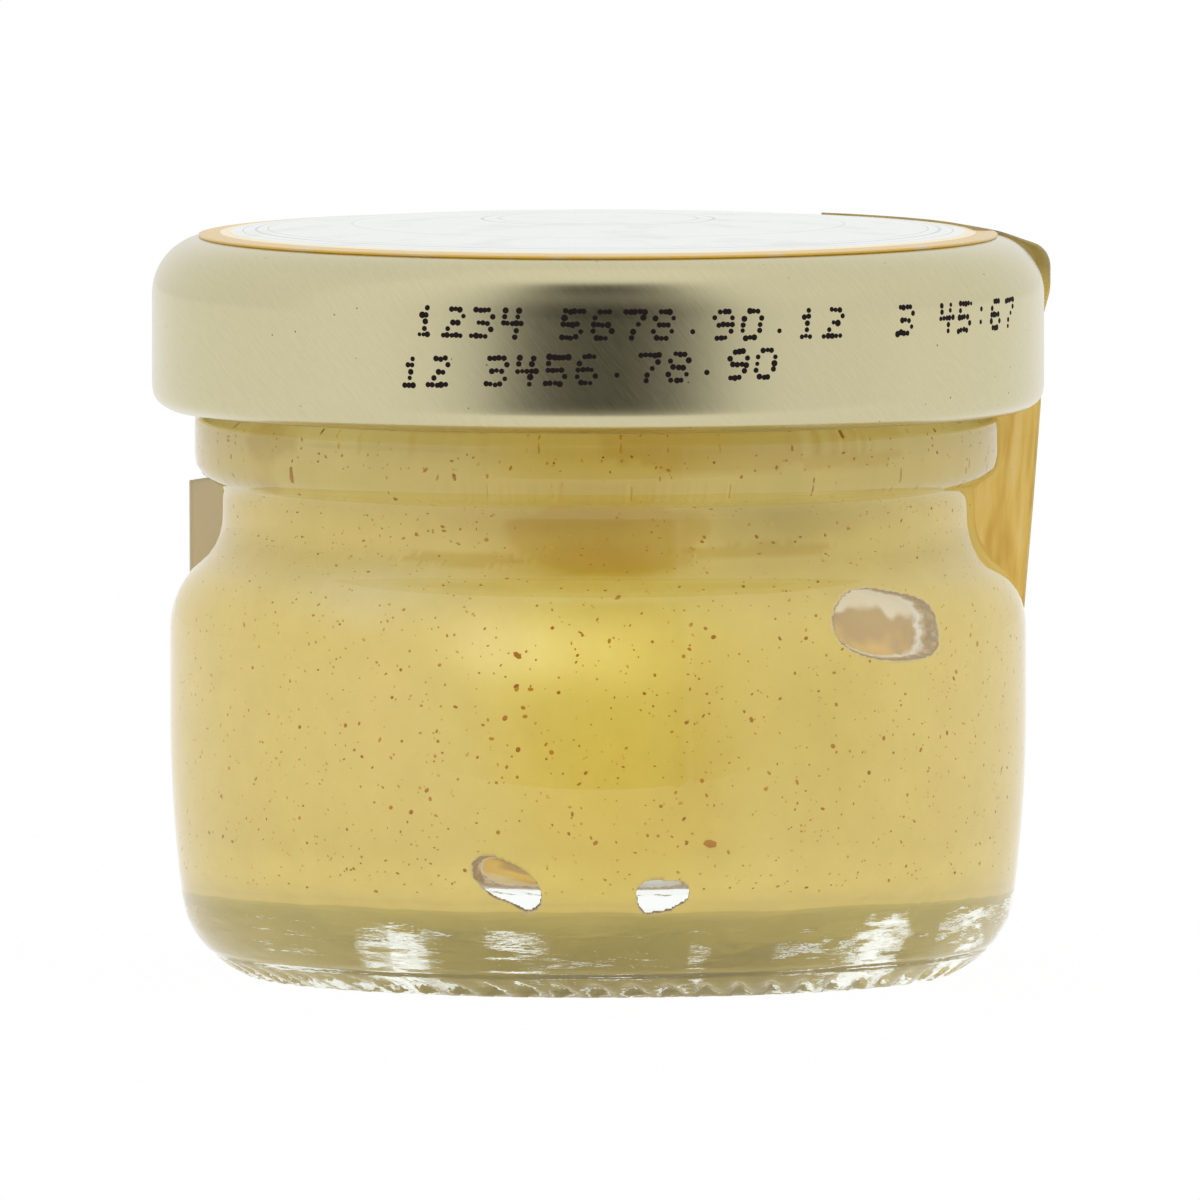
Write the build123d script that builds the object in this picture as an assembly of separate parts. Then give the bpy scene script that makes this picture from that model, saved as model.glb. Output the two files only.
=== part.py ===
from build123d import *
import math
import os

# A small glass jar of mustard, shut with a twist-off lid and sealed with two paper labels.
# The jar stands on z = 0 with its axis on Z. Everything round is turned about that axis,
# so outlines are drawn as (radius, height). Millimetres.

# Glass jar, outside
BODY_RADIUS = 22.08           # at the label panel
HEEL_ROUND = 5.0              # rounding between the standing ring and the body
HEEL_OUT = 0.95               # how much narrower the body is where the heel begins to turn
HEEL_HEIGHT = 1.56            # height of the corner that the heel rounds off
TAPER_HEIGHT = 8.8            # height of the very blunt corner where the taper ends
TAPER_ROUND = 76.0
RING_OUTER = 18.2             # the flat ring that the jar stands on
RING_INNER = 15.6
PUSH_UP = 0.9                 # depth of the dished underside inside that ring
SHOULDER_HEIGHT = 19.8        # height of the corner that the shoulder rounds off
SHOULDER_ROUND = 4.4
NECK_RADIUS = 19.44
NECK_HEIGHT = 22.2            # height of the corner between shoulder and neck
NECK_ROUND = 3.2
BEAD_RADIUS = 20.81           # the bead under the lid
BEAD_START = 25.15
BEAD_SLOPE = 0.95             # height of its sloping underside
BEAD_ROUND = 1.2
BEAD_TOP = 28.8
FINISH_RADIUS = 20.0          # the part that the lid goes over

# Glass jar, inside
WALL = 2.1
BORE_RADIUS = 17.4
FLOOR = 4.7                   # height of the inside floor
FLOOR_ROUND = 3.0             # rounding between floor and wall
RIM_ROUND = 0.8
SOFT_EDGE = 0.3               # rounding of the small inner corners of the glass

# Twist-off lid
LID_BOTTOM = 29.2
LID_HEIGHT = 8.9              # up to the edge of its top panel
LID_RADIUS = 23.0
LID_SHOULDER = 3.0
LID_DOME = 0.8                # rise of the panel's middle over its edge
TINPLATE = 0.25
CURL = 0.65                   # radius of the rolled lower edge
LINING = 0.3                  # sealing compound under the panel, which sits on the glass
LINING_OVERLAP = 0.4          # how far the compound reaches past the rim, on each side

# Mustard
HEADSPACE = 2.6               # between the mustard and the rim of the glass

# Paper labels
PAPER = 0.12
LABEL_OVERHANG = 0.6          # how far the round label reaches down over the lid's shoulder
STRAP_WIDTH = 16.0
STRAP_TURN = 29.0             # direction of the seal strap, degrees from +X towards +Y
STRAP_STAND_OFF = 0.55        # gap between strap and lid where it bends over the shoulder
STRAP_BEND = 1.2
STRAP_LANDING = 18.6          # height where the strap meets the glass again
STRAP_END = 10.5
BODY_LABEL_FROM = 58.0        # degrees from +X towards +Y
BODY_LABEL_TO = 162.0
BODY_LABEL_BOTTOM = 6.6
BODY_LABEL_TOP = 25.0

PANEL_RADIUS = LID_RADIUS - LID_SHOULDER
PANEL_TOP = LID_BOTTOM + LID_HEIGHT
TOP_LABEL_RADIUS = PANEL_RADIUS + LABEL_OVERHANG
RIM = PANEL_TOP - TINPLATE - LINING
MUSTARD_TOP = RIM - HEADSPACE
SPAN = 2 * (BODY_RADIUS + LID_RADIUS)     # longer than anything here, for cutting solids


def turned(*curves):
    """The solid made by turning a closed outline about the jar's axis."""
    return revolve(Plane.XZ * make_face(Curve() + list(curves)), axis=Axis.Z)


def drum(radius, low, high):
    """A plain upright cylinder between two heights."""
    return Pos(0, 0, low) * Cylinder(radius, high - low, align=(Align.CENTER, Align.CENTER, Align.MIN))


def sector(start, end):
    """A block over everything between two directions, given in degrees."""
    wedge = Polyline(
        (0, 0),
        (SPAN * math.cos(math.radians(start)), SPAN * math.sin(math.radians(start))),
        (SPAN * math.cos(math.radians((start + end) / 2)), SPAN * math.sin(math.radians((start + end) / 2))),
        (SPAN * math.cos(math.radians(end)), SPAN * math.sin(math.radians(end))),
        close=True,
    )
    return extrude(make_face(wedge), SPAN)


def outer_wall(out=0.0):
    """The jar's outside, from the standing ring to the rim, moved out by a paper's thickness if asked."""
    return FilletPolyline(
        (RING_OUTER + out, 0),
        (BODY_RADIUS - HEEL_OUT + out, HEEL_HEIGHT),
        (BODY_RADIUS + out, TAPER_HEIGHT),
        (BODY_RADIUS + out, SHOULDER_HEIGHT),
        (NECK_RADIUS + out, NECK_HEIGHT),
        (NECK_RADIUS + out, BEAD_START),
        (BEAD_RADIUS + out, BEAD_START + BEAD_SLOPE),
        (BEAD_RADIUS + out, BEAD_TOP),
        (FINISH_RADIUS + out, BEAD_TOP + SOFT_EDGE),
        (FINISH_RADIUS + out, RIM),
        (BORE_RADIUS + RIM_ROUND, RIM),
        radius=(HEEL_ROUND, TAPER_ROUND, SHOULDER_ROUND, NECK_ROUND, SOFT_EDGE, BEAD_ROUND, SOFT_EDGE,
                SOFT_EDGE / 2, RIM_ROUND),
    )


def inner_wall(top):
    """The jar's inside, from the middle of its floor up to a given height in the bore."""
    inside = BODY_RADIUS - WALL
    return FilletPolyline(
        (0, FLOOR),
        (inside - HEEL_OUT + WALL / 10, FLOOR),
        (inside, TAPER_HEIGHT),
        (inside, SHOULDER_HEIGHT - WALL / 6),
        (BORE_RADIUS, NECK_HEIGHT + WALL / 6),
        (BORE_RADIUS, top),
        radius=(FLOOR_ROUND, TAPER_ROUND / 4, SHOULDER_ROUND - WALL / 2, NECK_ROUND - WALL / 6),
    )


def jar_filled(out=0.0):
    """The whole space inside the jar's outside, which may be moved out by a paper's thickness."""
    wall = outer_wall(out)
    return turned(wall, Line(wall @ 1, (0, RIM)), Line((0, RIM), (0, 0)), Line((0, 0), wall @ 0))


def glass_jar():
    """The jar: its outside, less its inside and the dish in its underside, with a rounded rim."""
    mouth = RIM - RIM_ROUND
    hollow = turned(
        inner_wall(mouth),
        ThreePointArc(
            (BORE_RADIUS, mouth),
            (BORE_RADIUS + RIM_ROUND * (1 - math.sqrt(0.5)), mouth + RIM_ROUND * math.sqrt(0.5)),
            (BORE_RADIUS + RIM_ROUND, RIM),
        ),
        Line((BORE_RADIUS + RIM_ROUND, RIM), (0, RIM)),
        Line((0, RIM), (0, FLOOR)),
    )
    dish = turned(
        ThreePointArc((0, PUSH_UP), (RING_INNER / 2, PUSH_UP * 0.75), (RING_INNER, 0)),
        Line((RING_INNER, 0), (0, 0)),
        Line((0, 0), (0, PUSH_UP)),
    )
    return jar_filled() - hollow - dish


def mustard():
    """The mustard fills the inside of the glass up to its level in the neck."""
    return turned(
        inner_wall(MUSTARD_TOP),
        Line((BORE_RADIUS, MUSTARD_TOP), (0, MUSTARD_TOP)),
        Line((0, MUSTARD_TOP), (0, FLOOR)),
    )


def lid_top(out):
    """The lid's domed panel and rounded shoulder, moved out by a given amount."""
    middle = (0, PANEL_TOP + LID_DOME + out)
    edge = (PANEL_RADIUS, PANEL_TOP + out)
    turn = PANEL_TOP - LID_SHOULDER
    reach = LID_SHOULDER + out
    half = math.sqrt(0.5)
    dome = ThreePointArc(middle, (PANEL_RADIUS / 2, PANEL_TOP + out + LID_DOME * 0.75), edge)
    shoulder = ThreePointArc(
        edge, (PANEL_RADIUS + reach * half, turn + reach * half), (PANEL_RADIUS + reach, turn)
    )
    return [dome, shoulder], (PANEL_RADIUS + reach, turn), middle


def lid_filled(out):
    """The whole space inside the lid's outside, moved out by a given amount."""
    curves, low, middle = lid_top(out)
    foot = (low[0], LID_BOTTOM)
    axis_foot = (0, LID_BOTTOM)
    return turned(*curves, Line(low, foot), Line(foot, axis_foot), Line(axis_foot, middle))


def lid():
    """Tinplate shell with a rolled edge and a ring of sealing compound under its panel."""
    outer, outer_low, outer_middle = lid_top(0)
    inner, inner_low, inner_middle = lid_top(-TINPLATE)
    roll = (LID_RADIUS - CURL, LID_BOTTOM + CURL)
    join = CURL - TINPLATE
    seam = (inner_low[0], roll[1] + math.sqrt(CURL**2 - join**2))
    shell = turned(
        *outer,
        Line(outer_low, (LID_RADIUS, roll[1])),
        ThreePointArc((LID_RADIUS, roll[1]), (roll[0], LID_BOTTOM), (roll[0] - CURL, roll[1])),
        ThreePointArc((roll[0] - CURL, roll[1]), (roll[0], roll[1] + CURL), seam),
        Line(seam, inner_low),
        *inner,
        Line(inner_middle, outer_middle),
    )
    lining = drum(FINISH_RADIUS + LINING_OVERLAP, RIM, PANEL_TOP + LID_DOME)
    lining -= drum(BORE_RADIUS - LINING_OVERLAP, RIM, PANEL_TOP + LID_DOME)
    return shell + (lining & lid_filled(-TINPLATE))


def seal_strap():
    """The label's tail: over the lid's shoulder with a slack bend, down past the lid's edge to the glass.

    Drawn as one line of given corners, thickened to the paper, turned, and cut to its width."""
    bend = LID_RADIUS + STRAP_STAND_OFF
    line = FilletPolyline(
        (PANEL_RADIUS, PANEL_TOP),
        (TOP_LABEL_RADIUS + STRAP_STAND_OFF, PANEL_TOP - LID_SHOULDER / 15),
        (bend, PANEL_TOP - LID_SHOULDER / 3),
        (bend, PANEL_TOP - LID_SHOULDER),
        (LID_RADIUS, PANEL_TOP - LID_SHOULDER * 1.6),
        (LID_RADIUS, LID_BOTTOM),
        (BODY_RADIUS, STRAP_LANDING),
        (BODY_RADIUS, STRAP_END),
        radius=(STRAP_BEND * 2, STRAP_BEND, STRAP_BEND * 2, STRAP_BEND * 4, STRAP_BEND * 4, STRAP_BEND * 8),
    )
    section = make_face(offset(line, amount=PAPER, side=Side.LEFT, closed=True))
    band = revolve(Plane.XZ * section, axis=Axis.Z)
    strip = Box(SPAN, STRAP_WIDTH, SPAN, align=(Align.MIN, Align.CENTER, Align.CENTER))
    return band & (Rot(0, 0, STRAP_TURN) * strip)


def lid_label():
    """Round paper label on the lid's panel, in one piece with the seal strap."""
    disc = (lid_filled(PAPER) - lid_filled(0)) & drum(TOP_LABEL_RADIUS, PANEL_TOP - LID_SHOULDER, SPAN)
    strap = seal_strap() - lid_filled(0) - jar_filled()
    return disc + strap


def body_label():
    """Paper label round the back of the body. Its upper edge stands free above the shoulder."""
    middle = (BODY_LABEL_BOTTOM + BODY_LABEL_TOP) / 2
    stuck = jar_filled(PAPER) & drum(SPAN, BODY_LABEL_BOTTOM, middle)
    straight = drum(BODY_RADIUS + PAPER, middle, BODY_LABEL_TOP) - drum(BODY_RADIUS, middle, BODY_LABEL_TOP)
    return (stuck + straight - jar_filled()) & sector(BODY_LABEL_FROM, BODY_LABEL_TO)


os.makedirs("parts", exist_ok=True)
for name, solid in (
    ("glass_jar", glass_jar()),
    ("mustard", mustard()),
    ("lid", lid()),
    ("lid_label", lid_label()),
    ("body_label", body_label()),
):
    export_step(solid, f"parts/{name}.step")
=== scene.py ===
import math

import bmesh
import bpy
import numpy as np
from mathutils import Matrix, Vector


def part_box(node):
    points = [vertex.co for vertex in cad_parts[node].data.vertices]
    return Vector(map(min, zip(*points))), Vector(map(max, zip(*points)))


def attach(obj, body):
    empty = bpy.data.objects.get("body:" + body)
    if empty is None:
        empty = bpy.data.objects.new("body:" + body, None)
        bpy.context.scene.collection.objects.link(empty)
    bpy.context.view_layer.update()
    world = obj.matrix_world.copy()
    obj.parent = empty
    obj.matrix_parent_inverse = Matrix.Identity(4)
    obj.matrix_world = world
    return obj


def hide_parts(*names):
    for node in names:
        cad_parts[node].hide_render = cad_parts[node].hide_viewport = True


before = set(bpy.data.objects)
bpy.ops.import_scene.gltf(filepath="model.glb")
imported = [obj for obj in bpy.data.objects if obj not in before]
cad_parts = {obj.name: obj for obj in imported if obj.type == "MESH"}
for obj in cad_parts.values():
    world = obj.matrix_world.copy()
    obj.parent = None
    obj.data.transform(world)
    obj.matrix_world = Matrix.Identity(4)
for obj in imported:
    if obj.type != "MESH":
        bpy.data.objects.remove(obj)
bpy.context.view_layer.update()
MM = 0.001

# ---------------------------------------------------------------------------
# The jar: pressed clear glass, with a thick floor, a scalloped standing ring, a
# bead under the lid and a parting line round the heel. The mould's halves leave
# two upright seams, and the walls are a little uneven inside.

_, jar_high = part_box("glass_jar")
mustard_low, mustard_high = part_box("mustard")
BODY = jar_high.x / MM                    # outside radius at the label panel
RIM = jar_high.z / MM
INSIDE = mustard_high.x / MM              # inside radius of the body
FLOOR = mustard_low.z / MM
MUSTARD_TOP = mustard_high.z / MM
BORE = 17.4                               # radii of the mouth, the neck, the bead and the threaded finish
NECK = 19.44
BEAD = 20.81
FINISH = 20.0
STAND_OUTER = 18.2                        # radii of the ring that it stands on
STAND_INNER = 15.6
PUSH_UP = 0.9                             # how far the base rises inside that ring
FLOOR_ROUND = 3.0
SHOULDER = 19.8                           # heights of the corners that the curves round off
NECK_LOW = 22.2
BEAD_LOW = 25.15
BEAD_HIGH = 28.8
TAPER = 8.8                               # below this height the panel narrows towards the heel
WALL = BODY - INSIDE
FRONT = math.radians(-90)                 # the side without a label faces -Y


def rounded(corners, radii, step=0.12):
    """A line of straight runs joined by arcs that touch both runs, as an array of points.

    At each corner the arc's centre lies on the bisector, radius / cos(half the turn) away."""
    points = [np.array(corners[0], float)[None]]
    for before, corner, after, radius in zip(corners, corners[1:], corners[2:], radii):
        corner = np.array(corner, float)
        back = np.array(before) - corner
        on = np.array(after) - corner
        back /= np.linalg.norm(back)
        on /= np.linalg.norm(on)
        turn = math.pi - math.acos(np.clip(back @ on, -1, 1))
        reach = radius * math.tan(turn / 2)
        centre = corner + (back + on) / np.linalg.norm(back + on) * radius / math.cos(turn / 2)
        count = max(3, math.ceil(radius * turn / step))
        share = np.linspace(0, 1, count)[:, None]
        start, end = corner + back * reach - centre, corner + on * reach - centre
        arc = (np.sin((1 - share) * turn) * start + np.sin(share * turn) * end) / math.sin(turn)
        points.append(centre + arc)
    points.append(np.array(corners[-1], float)[None])
    return np.concatenate(points)


def respaced(line, gap):
    """The same line with a point about every gap, by length along it. gap may change along the line."""
    lengths = np.concatenate([[0], np.cumsum(np.linalg.norm(np.diff(line, axis=0), axis=1))])
    fine = np.linspace(0, lengths[-1], 4000)
    wanted = np.interp(fine, lengths, np.broadcast_to(gap, lengths.shape))
    count = np.concatenate([[0], np.cumsum(np.diff(fine) / (wanted[:-1] + wanted[1:]) * 2)])
    at = np.interp(np.linspace(0, count[-1], int(count[-1]) + 2), count, fine)
    return np.stack([np.interp(at, lengths, line[:, k]) for k in (0, 1)], 1)


def piece(name, points, closed_u=True, closed_v=False, fields=None):
    """A mesh object from a grid of points, given in millimetres, with equal ends welded together.

    Each of fields is a name and an array over the same grid, of numbers or of red, green and blue, and is
    stored on the vertices. Every quad joins a grid point to its neighbours along both directions."""
    rows, columns = points.shape[:2]
    index = np.arange(rows * columns).reshape(rows, columns)
    if closed_u:
        index = np.concatenate([index, index[:, :1]], 1)
    if closed_v:
        index = np.concatenate([index, index[:1]], 0)
    quads = np.stack([index[:-1, :-1], index[:-1, 1:], index[1:, 1:], index[1:, :-1]], -1).reshape(-1, 4)
    mesh = bpy.data.meshes.new(name)
    mesh.from_pydata((points.reshape(-1, 3) * MM).tolist(), [], quads.tolist())
    for field, values in (fields or {}).items():
        if values.ndim == 3:
            opaque = np.concatenate([values, np.ones((rows, columns, 1))], 2)
            layer = mesh.attributes.new(field, "FLOAT_COLOR", "POINT")
            layer.data.foreach_set("color", opaque.astype(np.float32).ravel())
        else:
            layer = mesh.attributes.new(field, "FLOAT", "POINT")
            layer.data.foreach_set("value", values.astype(np.float32).ravel())
    shell = bmesh.new()
    shell.from_mesh(mesh)
    bmesh.ops.remove_doubles(shell, verts=shell.verts, dist=1e-7)
    bmesh.ops.recalc_face_normals(shell, faces=shell.faces)
    shell.to_mesh(mesh)
    shell.free()
    mesh.polygons.foreach_set("use_smooth", np.ones(len(mesh.polygons), bool))
    made = bpy.data.objects.new(name, mesh)
    bpy.context.scene.collection.objects.link(made)
    return made


def turned(profile, angles, push=None, lift=None):
    """Points of a profile of (radius, height) turned about Z: x = r cos a, y = r sin a.

    push and lift are added to the radius and height, for each profile point and angle."""
    radius = profile[:, :1] + (0 if push is None else push)
    height = profile[:, 1:] + (0 if lift is None else lift)
    radius, height, angles = np.broadcast_arrays(radius, height, angles[None])
    return np.stack([radius * np.cos(angles), radius * np.sin(angles), height], -1)


def around(angles, centre):
    """The signed angle from centre, wrapped to half a turn each way."""
    return (angles - centre + math.pi) % (2 * math.pi) - math.pi


def hump(x, width):
    """A smooth bump of height 1 at 0 that dies out over about two widths: exp(-(x / width)^2)."""
    return np.exp(-((x / width) ** 2))


def jar_outline():
    """The jar's section: up the outside, over the rim, down the bore, over the floor and back below."""
    outside = rounded(
        [(STAND_OUTER, 0), (BODY - 0.95, 1.56), (BODY, TAPER), (BODY, SHOULDER), (NECK, NECK_LOW),
         (NECK, BEAD_LOW), (BEAD, BEAD_LOW + 0.95), (BEAD, BEAD_HIGH), (FINISH, BEAD_HIGH + 0.3),
         (FINISH, RIM), (BORE + 0.8, RIM)],
        [5.0, 71.5, 4.4, 3.2, 0.3, 1.2, 0.3, 0.15, 0.8])
    inside = rounded(
        [(FINISH - 1, RIM), (BORE, RIM), (BORE, NECK_LOW + WALL / 6), (INSIDE, SHOULDER - WALL / 6),
         (INSIDE, TAPER), (INSIDE - 0.95 + WALL / 10, FLOOR), (0, FLOOR)],
        [0.8, 3.2 - WALL / 6, 4.4 - WALL / 2, 18.4, FLOOR_ROUND])
    dish = np.linspace(0, STAND_INNER, 24)
    below = np.stack([dish, PUSH_UP * (1 - (dish / STAND_INNER) ** 2)], 1)
    return outside, inside, below


JAR_TURNS = 440
SCALLOPS = 64                             # notches round the ring that it stands on
SAG = 1.6                                 # how far the inner floor hangs down in the middle
RIPPLE = 0.085                            # height of the crinkles in the heel, and of the finer ones on them
FINE_RIPPLE = 0.030
RIPPLE_HEIGHT = 2.7                       # where on the heel they stand highest
PARTING_LINE = 1.3                        # height of the line between the mould and its base plate
SEAM = FRONT + math.radians(11.5)         # one upright mould seam; the other is opposite


def waves(x, y, size, seed, count=14):
    """Soft random relief from about -1 to 1: a sum of plane waves of wavelengths near size, in all ways."""
    draw = np.random.default_rng(seed)
    total = 0
    for way, length, start in zip(draw.uniform(0, math.pi, count), size * draw.uniform(0.6, 1.6, count),
                                  draw.uniform(0, 2 * math.pi, count)):
        total = total + np.sin((x * math.cos(way) + y * math.sin(way)) * 2 * math.pi / length + start)
    return total / math.sqrt(count)


def floor_relief(radius, angles):
    """How far the inner floor lies off its level: a shallow dish, SAG (1 - (r / edge)^4), lumps and crinkles.

    All fade out at the floor's rounded edge."""
    x, y = radius * np.cos(angles), radius * np.sin(angles)
    sag = np.clip(1 - (radius / (INSIDE - 2)) ** 4, 0, 1)
    inward = np.clip((INSIDE - 0.6 - radius) / 2, 0, 1)
    return -SAG * sag + inward * (0.05 * waves(x, y, 4.2, 4) + 0.012 * waves(x, y, 1.5, 6))


outside, inside, below = jar_outline()
outer_points = respaced(outside, np.interp(outside[:, 1], [0, 0.8, 4.5, 6], [0.12, 0.16, 0.22, 0.6]))
inner_points = respaced(inside, np.interp(inside[:, 1], [FLOOR, FLOOR + 3, TAPER, 16.5, 26, 29, RIM],
                                          [0.40, 0.34, 1.0, 0.42, 0.45, 1.4, 1.4]))
profile = np.concatenate([
    outer_points,
    inner_points,
    respaced(below, 0.7),
    np.array([[STAND_INNER + 0.6, 0.0], [STAND_OUTER - 0.7, 0.0], [STAND_OUTER - 0.25, 0.0]]),
])
angles = np.linspace(0, 2 * math.pi, JAR_TURNS, endpoint=False)
radius, height = profile[:, :1], profile[:, 1:]
# the seams, the parting line, the slanting notches of the standing ring and the crinkles of the heel are
# added to the outside, and the floor's relief to the inside
order = np.arange(len(profile))[:, None]
is_out = order < len(outer_points)
is_floor = (order >= len(outer_points)) & (order < len(outer_points) + len(inner_points)) & (height < TAPER)
is_below = (order >= len(outer_points) + len(inner_points)) & (height > 0)
seams = hump(np.sin(around(angles, SEAM)), 0.006)[None]
groove = hump(height - PARTING_LINE - 0.15 * np.cos(angles[None]), 0.10)
lean = angles[None] * SCALLOPS + (radius - STAND_OUTER) * 2.2
notch = np.clip(np.sin(lean), 0, 1) ** 0.7 * hump(radius - STAND_OUTER - 0.5, 0.65) * (height < 1.0)
along = 0.3 * BODY * (np.cos(angles[None]) + 0.7 * np.sin(angles[None]))
crinkle = (RIPPLE * waves(along, height + 0.1 * along, 2.3, 9)
           + FINE_RIPPLE * waves(along * 1.5, height - 0.2 * along, 0.65, 12))
strongest = 0.25 + 0.75 * np.sin(2 * (angles[None] - FRONT)) ** 2
crinkle = crinkle * hump(height - RIPPLE_HEIGHT, 1.25) * strongest
push = is_out * (0.05 * seams * (height < BEAD_LOW + 3) - 0.15 * groove * (radius > STAND_OUTER + 1)
                 + crinkle)
lift = (is_out * 0.38 * notch * (radius > STAND_OUTER - 0.3)
        + is_floor * floor_relief(radius, angles[None])
        + is_below * 0.12 * waves(radius * np.cos(angles[None]), radius * np.sin(angles[None]), 3.0, 17)
        * np.clip((STAND_INNER - radius) / 2, 0, 1))
glass = piece("glass_jar_clear", turned(profile, angles, push, lift), closed_v=True)


def clear_glass():
    """Water-clear glass. Lamp and bounce rays pass straight through, so that what is inside is lit."""
    material = bpy.data.materials.new("clear_glass")
    material.use_nodes = True
    nodes, links = material.node_tree.nodes, material.node_tree.links
    nodes.clear()
    out = nodes.new("ShaderNodeOutputMaterial")
    glass_shader = nodes.new("ShaderNodeBsdfPrincipled")
    glass_shader.inputs["Base Color"].default_value = (0.955, 0.985, 0.95, 1)
    glass_shader.inputs["Roughness"].default_value = 0.0
    glass_shader.inputs["IOR"].default_value = 1.51
    glass_shader.inputs["Transmission Weight"].default_value = 1.0
    place = nodes.new("ShaderNodeTexCoord")
    flat_streaks = nodes.new("ShaderNodeMapping")
    flat_streaks.inputs["Scale"].default_value = (420, 420, 2300)
    chill = nodes.new("ShaderNodeTexNoise")
    chill.inputs["Scale"].default_value = 1.0
    chill.inputs["Detail"].default_value = 4
    split = nodes.new("ShaderNodeSeparateXYZ")
    low = nodes.new("ShaderNodeMapRange")
    low.inputs["From Min"].default_value = 4.4 * MM
    low.inputs["From Max"].default_value = 3.4 * MM
    height_mix = nodes.new("ShaderNodeMath")
    height_mix.operation = "MULTIPLY"
    bump = nodes.new("ShaderNodeBump")
    bump.inputs["Strength"].default_value = 1.0
    bump.inputs["Distance"].default_value = 0.00006
    links.new(place.outputs["Object"], flat_streaks.inputs["Vector"])
    links.new(flat_streaks.outputs[0], chill.inputs["Vector"])
    links.new(place.outputs["Object"], split.inputs[0])
    links.new(split.outputs["Z"], low.inputs["Value"])
    links.new(chill.outputs["Fac"], height_mix.inputs[0])
    links.new(low.outputs[0], height_mix.inputs[1])
    links.new(height_mix.outputs[0], bump.inputs["Height"])
    links.new(bump.outputs[0], glass_shader.inputs["Normal"])
    plain = nodes.new("ShaderNodeBsdfTransparent")
    path = nodes.new("ShaderNodeLightPath")
    either = nodes.new("ShaderNodeMath")
    either.operation = "MAXIMUM"
    mix = nodes.new("ShaderNodeMixShader")
    links.new(path.outputs["Is Shadow Ray"], either.inputs[0])
    links.new(path.outputs["Is Diffuse Ray"], either.inputs[1])
    links.new(either.outputs[0], mix.inputs[0])
    links.new(glass_shader.outputs[0], mix.inputs[1])
    links.new(plain.outputs[0], mix.inputs[2])
    links.new(mix.outputs[0], out.inputs[0])
    return material


glass.data.materials.append(clear_glass())
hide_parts("glass_jar")
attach(glass, "root")

# ---------------------------------------------------------------------------
# The mustard: a pale yellow paste that was poured in warm and touches the glass
# everywhere but in a few air pockets. It reaches just into the wall of the jar, so
# that no film of air shows between the two.

INTO_WALL = 0.05                          # how deep the paste reaches into the glass
MUSTARD_TURNS = 508
# centre in degrees round from the front, height, half width, half height, tilt, raggedness, depth, seed
POCKETS = [
    (46.0, 18.6, 3.3, 1.55, -0.12, 0.06, 1.1, 3),
    (-13.5, 6.1, 1.8, 1.0, -0.5, 0.07, 1.3, 5),
    (9.5, 5.5, 1.3, 0.75, 0.15, 0.08, 1.2, 8),
]


def crowded(start, end, count, extra):
    """count values from start to end, closer together where the density, 1 plus each bump, is high."""
    fine = np.linspace(start, end, 20001)
    density = 1 + sum(height * np.exp(-(((fine - middle) / width) ** 2)) for middle, width, height in extra)
    share_so_far = np.concatenate([[0], np.cumsum((density[1:] + density[:-1]) / 2)])
    return np.interp(np.linspace(0, share_so_far[-1], count, endpoint=False), share_so_far, fine)


# more columns towards the front and across each pocket
pocket_spans = [(p[0], math.degrees(p[2] * 1.3 / INSIDE), 3.0) for p in POCKETS]
mustard_angles = FRONT + np.radians(crowded(-180, 180, MUSTARD_TURNS, [(0, 70, 1.3)] + pocket_spans))
wall_line = rounded(
    [(0, FLOOR - INTO_WALL), (INSIDE - 0.95 + WALL / 10 + INTO_WALL, FLOOR - INTO_WALL),
     (INSIDE + INTO_WALL, TAPER), (INSIDE + INTO_WALL, SHOULDER - WALL / 6),
     (BORE + INTO_WALL, NECK_LOW + WALL / 6), (BORE + INTO_WALL, MUSTARD_TOP), (0, MUSTARD_TOP)],
    [FLOOR_ROUND, 18.4, 4.4 - WALL / 2, 3.2 - WALL / 6, 0.3])
# rows lie closest across the upper pocket and round the floor's edge
fine_line = respaced(wall_line, 0.02)
row_gap = np.where(np.abs(fine_line[:, 1] - POCKETS[0][1]) < 2.1, 0.14, 0.34)
row_gap = np.where((fine_line[:, 1] < FLOOR + 3) & (fine_line[:, 0] > INSIDE - 4), 0.15, row_gap)
row_gap = np.where((fine_line[:, 1] > MUSTARD_TOP - 0.2), 0.9, row_gap)
row_gap = np.where((fine_line[:, 1] < FLOOR) & (fine_line[:, 0] <= INSIDE - 4), 0.42, row_gap)
mustard_line = respaced(fine_line, row_gap)


def pocket_edge(angle, height, centre, level, half_width, half_height, tilt, ragged, depth, seed):
    """How far inside an air pocket's rim a point lies, as a share of its size: negative outside it.

    The pocket is a blunt oval in the unrolled wall, whose edge wanders by a few waves round it."""
    across = around(angle, FRONT + math.radians(centre)) * INSIDE
    up = height - level
    x = across * math.cos(tilt) + up * math.sin(tilt)
    y = up * math.cos(tilt) - across * math.sin(tilt)
    way = np.arctan2(y / half_height, x / half_width)
    draw = np.random.default_rng(seed)
    edge = 1 + ragged * sum(draw.normal() * np.sin(k * way + draw.uniform(0, 6.3)) / k for k in range(2, 9))
    reach = ((np.abs(x) / half_width) ** 2.4 + (np.abs(y) / half_height) ** 2.4) ** (1 / 2.4)
    return edge - reach


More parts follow.
